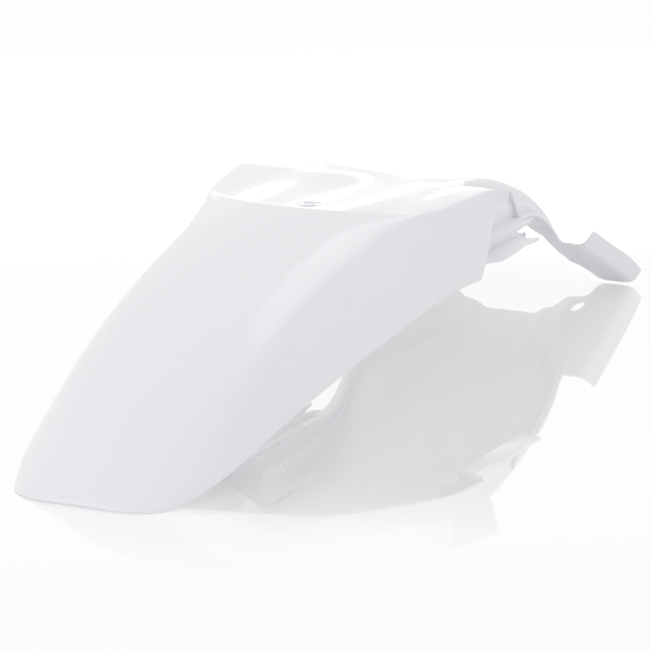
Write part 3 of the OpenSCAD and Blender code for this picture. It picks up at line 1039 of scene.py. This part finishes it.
    def bore(self, side: Side) -> bpy.types.Object:
        """Returns the tool that cuts a bolt's bore, with softened mouths and spot faces.

        Args:
            side: Side of the fender.

        Returns:
            The tool that cuts a bolt's bore, with softened mouths and spot faces.
        """
        r, t, edge = self.s.bolt_bore_d / 2, self.seat_t, self.EDGE_ROUNDING * 0.7
        face = 0.45 * self.s.bolt_seat_d
        profile = [(0, -t), (face, -t), (face, 0), (r + edge, 0), (r, edge)]
        profile += [(r, t - edge), (r + edge, t), (face, t), (face, 2 * t), (0, 2 * t)]
        return self._turned("bore", profile, self._bolt_frame(side))

    def ring(self, diameter: float) -> bpy.types.Object:
        """Returns a plain moulded ring on the floor of the pocket.

        Args:
            diameter: Outer diameter in millimetres.

        Returns:
            A plain moulded ring on the floor of the pocket.
        """
        s, loft = self.s, self.loft
        stations = loft.last_station - loft.RIDGE
        at = loft.RIDGE + stations * (s.ring_y - s.ridge_y) / (s.rail_l - s.ridge_y)
        spot = loft.top_point(at, 0)
        rise = loft.top_point(at + 0.1, 0) - spot
        turn = Matrix.Rotation(atan(rise[2] / rise[1]), 4, "X")
        frame = Matrix.Translation(loft.place(spot)) @ turn
        outer, low, edge = diameter / 2, -s.wall_t / 2, 0.3 * s.ring_t
        inner = outer - s.ring_t
        profile = [(inner, low), (outer, low), (outer, s.ring_t - edge)]
        profile += [(outer - edge, s.ring_t), (inner + edge, s.ring_t), (inner, s.ring_t - edge)]
        return self._turned("ring", profile, frame)

    def solids(self) -> list[bpy.types.Object]:
        """Returns every solid that is joined to the skin.

        Returns:
            Every solid that is joined to the skin.
        """
        makers = (self.tab, self.rim, self.ledge, self.web, self.cheek, self.gusset, self.seat)
        found = [maker(side) for maker in makers for side in Side]
        return found + [self.ring(self.s.ring_d), self.ring(self.s.ring_inner_d)]

    def bores(self) -> list[bpy.types.Object]:
        """Returns the tools that cut the two bores."""
        return [self.bore(side) for side in Side]


def add_bevel(obj: bpy.types.Object, width: float) -> bpy.types.BevelModifier:
    """Adds a bevel that rounds the sharp edges.

    Args:
        obj: The object.
        width: Width of the rounding in millimetres.

    Returns:
        The new modifier.
    """
    bevel = obj.modifiers.new("rounded edges", "BEVEL")
    bevel.width = width * MM
    bevel.segments = 2
    bevel.limit_method = "ANGLE"
    bevel.angle_limit = radians(BEVEL_ANGLE)
    bevel.use_clamp_overlap = False
    bevel.harden_normals = False
    return bevel


@dataclass(frozen=True)
class PlasticFinish:
    """A finish of the moulded plastic."""

    name: str
    colour: Colour
    roughness: float
    coat: float
    grain: float
    marks: float


OUTER_FINISH = PlasticFinish("gloss_white_plastic", (0.838, 0.833, 0.866), 0.34, 0.4, 0.012, 1.0)
# The underside's base colour is set a little darker than the outer face's: painted shade. Its
# higher roughness, thinner coat and coarser grain are the real satin finish of the inner face.
INNER_SATIN_AND_SHADE = PlasticFinish("satin_underside_with_painted_shade", (0.82, 0.812, 0.845), 0.42, 0.1, 0.05, 0.35)


class HandlingMarks:
    """Shader group for fine straight scratches and small specks on plastic."""

    DIRECTIONS = (24.0, -38.0, 71.0)
    LINE_CELLS = (7.0, 130.0, 0.0)
    LINE_BAND = (0.06, 0.02)
    STREAK_STRETCH = (6.0, 900.0, 0.0)
    STREAK_BAND = (0.735, 0.79)
    PATCH_SCALE = 9.0
    PATCH_BAND = (0.47, 0.6)
    SPECK_SCALE = 45.0
    SPECK_BAND = (0.035, 0.02)
    SPECK_CHOICE = (0.78, 0.8)
    WEAR_SCALE = 11.0
    WEAR_DETAIL = 3.0
    WEAR_BAND = (0.3, 0.75)

    def __init__(self) -> None:
        """Builds the group."""
        self.tree = bpy.data.node_groups.new("handling_marks", "ShaderNodeTree")
        face = self.tree.interface
        face.new_socket(name="Vector", in_out="INPUT", socket_type="NodeSocketVector")
        face.new_socket(name="Amount", in_out="INPUT", socket_type="NodeSocketFloat")
        for name in ("Scratches", "Specks", "Wear"):
            face.new_socket(name=name, in_out="OUTPUT", socket_type="NodeSocketFloat")
        self.source = self.tree.nodes.new("NodeGroupInput")
        self.target = self.tree.nodes.new("NodeGroupOutput")
        scratches = self._largest([self._scratch_layer(angle) for angle in self.DIRECTIONS])
        specks = self._speck_layer()
        self._send(scratches, "Scratches")
        self._send(specks, "Specks")
        self.tree.links.new(self._wear_layer(), self.target.inputs["Wear"])

    def _math(self, operation: str, a: object, b: object) -> bpy.types.NodeSocket:
        """Returns the output of a math node on two sockets or numbers.

        Args:
            operation: The math node's operation.
            a: Socket or number.
            b: Socket or number.

        Returns:
            The output of a math node on two sockets or numbers.
        """
        node = self.tree.nodes.new("ShaderNodeMath")
        node.operation = operation
        for slot, value in zip(node.inputs, (a, b)):
            if isinstance(value, bpy.types.NodeSocket):
                self.tree.links.new(value, slot)
            else:
                slot.default_value = value
        return node.outputs[0]

    def _send(self, socket: bpy.types.NodeSocket, name: str) -> None:
        """Sends a mask, times the amount, to a named output."""
        scaled = self._math("MULTIPLY", socket, self.source.outputs["Amount"])
        self.tree.links.new(scaled, self.target.inputs[name])

    def _largest(self, sockets: list) -> bpy.types.NodeSocket:
        """Returns the largest of several masks.

        Args:
            sockets: The masks.

        Returns:
            The largest of several masks.
        """
        found = sockets[0]
        for socket in sockets[1:]:
            found = self._math("MAXIMUM", found, socket)
        return found

    def _mapped(self, angle: float, scale: tuple[float, float, float]) -> bpy.types.NodeSocket:
        """Returns the coordinates turned about Z and then stretched.

        Args:
            angle: Turn about Z in degrees.
            scale: Stretch along X, Y and Z.

        Returns:
            The coordinates turned about Z and then stretched.
        """
        turn = self.tree.nodes.new("ShaderNodeMapping")
        turn.inputs["Rotation"].default_value = (0, 0, radians(angle))
        stretch = self.tree.nodes.new("ShaderNodeMapping")
        stretch.inputs["Scale"].default_value = scale
        self.tree.links.new(self.source.outputs["Vector"], turn.inputs["Vector"])
        self.tree.links.new(turn.outputs[0], stretch.inputs["Vector"])
        return stretch.outputs[0]

    def _band(
        self, socket: bpy.types.NodeSocket, low: float, high: float
    ) -> bpy.types.NodeSocket:
        """Returns a mask that rises smoothly from 0 at low to 1 at high.

        Args:
            socket: The value.
            low: Value at which the mask is 0.
            high: Value at which the mask is 1.

        Returns:
            A mask that rises smoothly from 0 at low to 1 at high.
        """
        node = self.tree.nodes.new("ShaderNodeMapRange")
        node.interpolation_type = "SMOOTHSTEP"
        node.inputs["From Min"].default_value = low
        node.inputs["From Max"].default_value = high
        self.tree.links.new(socket, node.inputs["Value"])
        return node.outputs["Result"]

    def _scratch_layer(self, angle: float) -> bpy.types.NodeSocket:
        """Returns a mask of a few thin straight lines in one direction.

        Args:
            angle: Turn about Z in degrees.

        Returns:
            A mask of a few thin straight lines in one direction.
        """
        cells = self.tree.nodes.new("ShaderNodeTexVoronoi")
        cells.feature = "F1"
        cells.inputs["Scale"].default_value = 1.0
        self.tree.links.new(self._mapped(angle, self.LINE_CELLS), cells.inputs["Vector"])
        line = self._band(cells.outputs["Distance"], *self.LINE_BAND)
        thin = self.tree.nodes.new("ShaderNodeTexNoise")
        thin.inputs["Scale"].default_value = 1.0
        thin.inputs["Detail"].default_value = 1.0
        self.tree.links.new(self._mapped(angle, self.STREAK_STRETCH), thin.inputs["Vector"])
        streak = self._band(thin.outputs["Fac"], *self.STREAK_BAND)
        patch = self.tree.nodes.new("ShaderNodeTexNoise")
        patch.inputs["Scale"].default_value = self.PATCH_SCALE
        self.tree.links.new(self.source.outputs["Vector"], patch.inputs["Vector"])
        where = self._band(patch.outputs["Fac"], *self.PATCH_BAND)
        return self._math("MULTIPLY", self._math("MAXIMUM", streak, line), where)

    def _speck_layer(self) -> bpy.types.NodeSocket:
        """Returns a mask of a few small round specks.

        Returns:
            A mask of a few small round specks.
        """
        cells = self.tree.nodes.new("ShaderNodeTexVoronoi")
        cells.feature = "F1"
        cells.inputs["Scale"].default_value = self.SPECK_SCALE
        self.tree.links.new(self.source.outputs["Vector"], cells.inputs["Vector"])
        dot = self._band(cells.outputs["Distance"], *self.SPECK_BAND)
        tone = self.tree.nodes.new("ShaderNodeSeparateColor")
        self.tree.links.new(cells.outputs["Color"], tone.inputs[0])
        chosen = self._band(tone.outputs["Red"], *self.SPECK_CHOICE)
        return self._math("MULTIPLY", dot, chosen)

    def _wear_layer(self) -> bpy.types.NodeSocket:
        """Returns a soft pattern of duller and shinier places, from 0 to 1.

        Returns:
            A soft pattern of duller and shinier places, from 0 to 1.
        """
        noise = self.tree.nodes.new("ShaderNodeTexNoise")
        noise.inputs["Scale"].default_value = self.WEAR_SCALE
        noise.inputs["Detail"].default_value = self.WEAR_DETAIL
        self.tree.links.new(self.source.outputs["Vector"], noise.inputs["Vector"])
        return self._band(noise.outputs["Fac"], *self.WEAR_BAND)


class PlasticPainter:
    """Builds the materials of the moulded plastic."""

    REFRACTION = 1.49
    COAT_ROUGHNESS = 0.08
    GRAIN_SCALE = 420.0
    GRAIN_DEPTH = 0.0006
    DENT_STRENGTH = 0.12
    DENT_DEPTH = 0.0002
    SCRATCH_TONE = 0.9
    SPECK_TONE = 0.72
    SHINY_SHARE = 0.88
    DULL_SHARE = 1.15
    SCRATCH_DULLING = 0.2

    def __init__(self) -> None:
        """Builds the group that both finishes use."""
        self.marks = HandlingMarks()

    def paint(self, finish: PlasticFinish) -> bpy.types.Material:
        """Returns the material of a finish.

        Args:
            finish: Colour, gloss and marks.

        Returns:
            The new material.
        """
        material = bpy.data.materials.new(finish.name)
        material.use_nodes = True
        nodes, link = material.node_tree.nodes, material.node_tree.links.new
        shader = nodes["Principled BSDF"]
        shader.inputs["Roughness"].default_value = finish.roughness
        shader.inputs["IOR"].default_value = self.REFRACTION
        shader.inputs["Coat Weight"].default_value = finish.coat
        shader.inputs["Coat Roughness"].default_value = self.COAT_ROUGHNESS
        place = nodes.new("ShaderNodeTexCoord")
        marks = nodes.new("ShaderNodeGroup")
        marks.node_tree = self.marks.tree
        marks.inputs["Amount"].default_value = finish.marks
        link(place.outputs["Object"], marks.inputs["Vector"])
        self._colour(material, finish, marks)
        self._roughness(material, finish, marks)
        grain = nodes.new("ShaderNodeTexNoise")
        grain.inputs["Scale"].default_value = self.GRAIN_SCALE
        link(place.outputs["Object"], grain.inputs["Vector"])
        fine = nodes.new("ShaderNodeBump")
        fine.inputs["Strength"].default_value = finish.grain
        fine.inputs["Distance"].default_value = self.GRAIN_DEPTH
        link(grain.outputs["Fac"], fine.inputs["Height"])
        dent = nodes.new("ShaderNodeBump")
        dent.invert = True
        dent.inputs["Strength"].default_value = self.DENT_STRENGTH
        dent.inputs["Distance"].default_value = self.DENT_DEPTH
        link(marks.outputs["Scratches"], dent.inputs["Height"])
        link(fine.outputs["Normal"], dent.inputs["Normal"])
        link(dent.outputs["Normal"], shader.inputs["Normal"])
        return material

    def _colour(
        self, material: bpy.types.Material, finish: PlasticFinish, marks: bpy.types.Node
    ) -> None:
        """Joins the base colour with grey specks and pale scratches.

        Args:
            material: The material.
            finish: Colour, gloss and marks.
            marks: The group node of the handling marks.
        """
        nodes, link = material.node_tree.nodes, material.node_tree.links.new
        shader = nodes["Principled BSDF"]
        scratched = nodes.new("ShaderNodeMix")
        scratched.data_type = "RGBA"
        scratched.inputs["A"].default_value = (*finish.colour, 1)
        dull = (self.SCRATCH_TONE * c for c in finish.colour)
        scratched.inputs["B"].default_value = (*dull, 1)
        link(marks.outputs["Scratches"], scratched.inputs["Factor"])
        specked = nodes.new("ShaderNodeMix")
        specked.data_type = "RGBA"
        link(scratched.outputs["Result"], specked.inputs["A"])
        grey = (self.SPECK_TONE * c for c in finish.colour)
        specked.inputs["B"].default_value = (*grey, 1)
        link(marks.outputs["Specks"], specked.inputs["Factor"])
        link(specked.outputs["Result"], shader.inputs["Base Color"])

    def _roughness(
        self, material: bpy.types.Material, finish: PlasticFinish, marks: bpy.types.Node
    ) -> None:
        """Joins the roughness with the wear and the scratches.

        Args:
            material: The material.
            finish: Colour, gloss and marks.
            marks: The group node of the handling marks.
        """
        nodes, link = material.node_tree.nodes, material.node_tree.links.new
        worn = nodes.new("ShaderNodeMapRange")
        worn.inputs["To Min"].default_value = finish.roughness * self.SHINY_SHARE
        worn.inputs["To Max"].default_value = finish.roughness * self.DULL_SHARE
        link(marks.outputs["Wear"], worn.inputs["Value"])
        add = nodes.new("ShaderNodeMath")
        add.operation = "MULTIPLY_ADD"
        link(marks.outputs["Scratches"], add.inputs[0])
        add.inputs[1].default_value = self.SCRATCH_DULLING
        link(worn.outputs["Result"], add.inputs[2])
        link(add.outputs[0], nodes["Principled BSDF"].inputs["Roughness"])


class Fender:
    """The moulded fender, made as one visible piece that stands for its CAD node."""

    REFINEMENT = 2
    SHARP_ANGLE = 33
    RIM_ANGLE = 70
    RIM_GAP = 9

    def __init__(self, sizes: FenderSizes) -> None:
        """Makes the loft, its fittings and the finishes.

        Args:
            sizes: The fender's sizes.
        """
        self.sizes = sizes
        self.loft = Loft(sizes)
        self.fittings = Fittings(self.loft)
        painter = PlasticPainter()
        self.outer = painter.paint(OUTER_FINISH)
        self.inner = painter.paint(INNER_SATIN_AND_SHADE)

    def _combine(self, skin: bpy.types.Object, tools: list, change: Change) -> None:
        """Joins or cuts the skin with helper solids, which are then removed.

        Args:
            skin: The fender's skin.
            tools: The helper solids.
            change: What they do to the skin.
        """
        for tool in tools:
            for material in (self.outer, self.inner):
                tool.data.materials.append(material)
            modifier = skin.modifiers.new(tool.name, "BOOLEAN")
            modifier.operation = change.value
            modifier.solver = "MANIFOLD"
            modifier.object = tool
        bake_modifiers(skin)
        for tool in tools:
            drop_object(tool)

    def _round_rim(self, skin: bpy.types.Object) -> None:
        """Rounds the rim of the sheet, but not beside the corners at the rails' front ends.

        Args:
            skin: The fender's skin.
        """
        loft = self.loft
        spots = [loft.main_point(loft.last_station, loft.top_cols + k) for k in (-1, 1, 3)]
        spots += [loft.apron_point(0, loft.top_cols + k) for k in (-1, 1, 3)]
        corners = [loft.place(spot, side) for spot in spots for side in Side]
        bm = bmesh.new()
        bm.from_mesh(skin.data)
        weight = bm.edges.layers.float.new("bevel_weight_edge")
        for edge in bm.edges:
            near = min((v.co - c).length for v in edge.verts for c in corners)
            if edge.calc_face_angle(0) > radians(self.RIM_ANGLE) and near > self.RIM_GAP * MM:
                edge[weight] = 1.0
        bm.to_mesh(skin.data)
        bm.free()
        add_bevel(skin, self.sizes.rim_rounding).limit_method = "WEIGHT"
        bake_modifiers(skin)
        for vertex in skin.data.vertices:
            vertex.co.z = max(0.0, vertex.co.z)

    def build(self) -> bpy.types.Object:
        """Builds the fender's visible piece.

        Returns:
            The piece.
        """
        skin = new_object("fender_skin", self.loft.sheet())
        MouldedWall().apply(
            skin,
            {
                "Refinement": self.REFINEMENT,
                "Wall thickness": self.sizes.wall_t * MM,
                "Outer finish": self.outer,
                "Inner finish": self.inner,
            },
        )
        self._round_rim(skin)
        LOG.info("skin: %d faces", len(skin.data.polygons))
        self._combine(skin, self.fittings.solids(), Change.JOIN)
        self._combine(skin, self.fittings.bores(), Change.CUT)
        mesh = skin.data
        mesh.shade_smooth()
        mesh.set_sharp_from_angle(angle=radians(self.SHARP_ANGLE))
        LOG.info("fender: %d faces", len(mesh.polygons))
        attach(skin, BODY)
        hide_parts(NODE)
        return skin


@dataclass(frozen=True)
class SoftLamp:
    """An area lamp."""

    name: str
    place: tuple[float, float, float]
    size: tuple[float, float]
    power: float


class Studio:
    """White studio with a glossy floor, soft lamps and the photograph's camera."""

    LAMPS = (
        SoftLamp("key_lamp", (0.4, 1.5, 2.7), (1.8, 1.8), 11.0),
        SoftLamp("fill_lamp", (-1.5, -2.0, 2.0), (2.5, 2.5), 15.0),
        SoftLamp("back_lamp", (-1.5, 2.9, 0.6), (1.2, 0.3), 1.8),
    )
    AIM = (0.0, 0.0, 0.08)
    CAMERA_PLACE = (1.6517, -3.146, 1.030)
    PITCH = 15.54
    YAW = 27.54
    ROLL = -0.96
    LENS = 260.3
    FILL = 0.76
    GLOW = 0.25
    TABLE = 1.5
    MIRROR = 0.58
    FADE_START = -0.56
    FADE_END = -0.24
    SHADE = 0.25
    FLOOR_HALF = 12.0
    FLOOR_DROP = 0.0003
    FLOOR_COLOUR = (0.96, 0.96, 0.965)
    FLOOR_ROUGHNESS = 0.015

    def _sees_plain(self, nodes: bpy.types.Nodes, link: Callable) -> bpy.types.NodeSocket:
        """Returns a mask that is 1 for rays from the camera, a mirror or glass.

        Args:
            nodes: Nodes of the tree.
            link: Joins two sockets of the tree.

        Returns:
            A mask that is 1 for rays from the camera, a mirror or glass.
        """
        path = nodes.new("ShaderNodeLightPath")
        found = path.outputs["Is Camera Ray"]
        for name in ("Is Glossy Ray", "Is Transmission Ray"):
            largest = nodes.new("ShaderNodeMath")
            largest.operation = "MAXIMUM"
            link(found, largest.inputs[0])
            link(path.outputs[name], largest.inputs[1])
            found = largest.outputs[0]
        return found

    def surroundings(self) -> None:
        """Sets a world that is seen as white and gives a soft fill."""
        world = bpy.data.worlds.new("studio_white")
        bpy.context.scene.world = world
        world.use_nodes = True
        nodes, link = world.node_tree.nodes, world.node_tree.links.new
        strength = nodes.new("ShaderNodeMapRange")
        strength.inputs["To Min"].default_value = self.FILL
        strength.inputs["To Max"].default_value = 1.0
        link(self._sees_plain(nodes, link), strength.inputs["Value"])
        background = nodes["Background"]
        background.inputs["Color"].default_value = (1, 1, 1, 1)
        link(strength.outputs["Result"], background.inputs["Strength"])

    def floor(self) -> None:
        """Builds the floor: plain white, with a mirror that fades towards the viewer."""
        half = self.FLOOR_HALF
        mesh = bpy.data.meshes.new("studio_floor")
        corners = [(-half, -half), (half, -half), (half, half), (-half, half)]
        mesh.from_pydata([(x, y, -self.FLOOR_DROP) for x, y in corners], [], [(0, 1, 2, 3)])
        obj = new_object("studio_floor", mesh)
        material = bpy.data.materials.new("pale_gloss_floor")
        material.use_nodes = True
        nodes, link = material.node_tree.nodes, material.node_tree.links.new
        nodes.remove(nodes["Principled BSDF"])
        plain = nodes.new("ShaderNodeEmission")
        level = nodes.new("ShaderNodeMapRange")
        level.inputs["To Min"].default_value = self.TABLE
        level.inputs["To Max"].default_value = 1.0
        link(self._sees_plain(nodes, link), level.inputs["Value"])
        link(level.outputs["Result"], plain.inputs["Strength"])
        matt = nodes.new("ShaderNodeBsdfDiffuse")
        matt.inputs["Color"].default_value = (*self.FLOOR_COLOUR, 1)
        bright = nodes.new("ShaderNodeMixShader")
        link(self._shade_share(nodes, link), bright.inputs["Fac"])
        link(plain.outputs[0], bright.inputs[2])
        link(matt.outputs[0], bright.inputs[1])
        mirror = nodes.new("ShaderNodeBsdfGlossy")
        mirror.inputs["Roughness"].default_value = self.FLOOR_ROUGHNESS
        mirror.inputs["Color"].default_value = (1, 1, 1, 1)
        gloss = nodes.new("ShaderNodeMixShader")
        link(self._mirror_share(nodes, link), gloss.inputs["Fac"])
        link(bright.outputs[0], gloss.inputs[1])
        link(mirror.outputs[0], gloss.inputs[2])
        link(gloss.outputs[0], nodes["Material Output"].inputs["Surface"])
        mesh.materials.append(material)

    def _shade_share(self, nodes: bpy.types.Nodes, link: Callable) -> bpy.types.NodeSocket:
        """Returns how much of the floor is plain white: it shows only part of the shadow.

        Args:
            nodes: Nodes of the tree.
            link: Joins two sockets of the tree.

        Returns:
            How much of the floor is plain white: it shows only part of the shadow.
        """
        share = nodes.new("ShaderNodeMapRange")
        share.inputs["To Min"].default_value = self.GLOW
        share.inputs["To Max"].default_value = 1.0 - self.SHADE
        link(self._sees_plain(nodes, link), share.inputs["Value"])
        return share.outputs["Result"]

    def _mirror_share(self, nodes: bpy.types.Nodes, link: Callable) -> bpy.types.NodeSocket:
        """Returns the strength of the mirror over the floor.

        Args:
            nodes: Nodes of the tree.
            link: Joins two sockets of the tree.

        Returns:
            The strength of the mirror over the floor.
        """
        place = nodes.new("ShaderNodeTexCoord")
        along = nodes.new("ShaderNodeVectorMath")
        along.operation = "DOT_PRODUCT"
        yaw = radians(self.YAW)
        along.inputs[1].default_value = (-sin(yaw), cos(yaw), 0)
        link(place.outputs["Object"], along.inputs[0])
        fade = nodes.new("ShaderNodeMapRange")
        fade.interpolation_type = "SMOOTHSTEP"
        fade.inputs["From Min"].default_value = self.FADE_START
        fade.inputs["From Max"].default_value = self.FADE_END
        fade.inputs["To Max"].default_value = self.MIRROR
        link(along.outputs["Value"], fade.inputs["Value"])
        return fade.outputs["Result"]

    def lamps(self) -> None:
        """Places the lamps, each aimed at the fender."""
        for lamp in self.LAMPS:
            light = bpy.data.lights.new(lamp.name, "AREA")
            light.shape = "RECTANGLE"
            light.size, light.size_y = lamp.size
            light.energy = lamp.power
            obj = bpy.data.objects.new(lamp.name, light)
            bpy.context.scene.collection.objects.link(obj)
            obj.location = lamp.place
            aim = Vector(self.AIM) - obj.location
            obj.rotation_euler = aim.to_track_quat("-Z", "Y").to_euler()

    def camera(self) -> None:
        """Places the camera as it was fitted to the photograph."""
        data = bpy.data.cameras.new("photo_camera")
        data.lens = self.LENS
        data.sensor_width = 36.0
        data.clip_end = 100.0
        obj = bpy.data.objects.new("photo_camera", data)
        bpy.context.scene.collection.objects.link(obj)
        turn = Matrix.Rotation(radians(self.YAW), 4, "Z")
        tilt = Matrix.Rotation(radians(90 - self.PITCH), 4, "X")
        roll = Matrix.Rotation(radians(self.ROLL), 4, "Z")
        obj.matrix_world = Matrix.Translation(self.CAMERA_PLACE) @ turn @ tilt @ roll
        bpy.context.scene.camera = obj

    def build(self) -> None:
        """Builds the whole studio."""
        bpy.context.scene.view_settings.view_transform = "Standard"
        self.surroundings()
        self.floor()
        self.lamps()
        self.camera()


def main() -> None:
    """Builds the fender and the studio."""
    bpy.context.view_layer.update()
    Studio().build()
    LOG.info("studio is ready")
    Fender(FenderSizes()).build()


if __name__ == "__main__":
    logging.basicConfig(level=logging.INFO)
    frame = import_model()
    main()
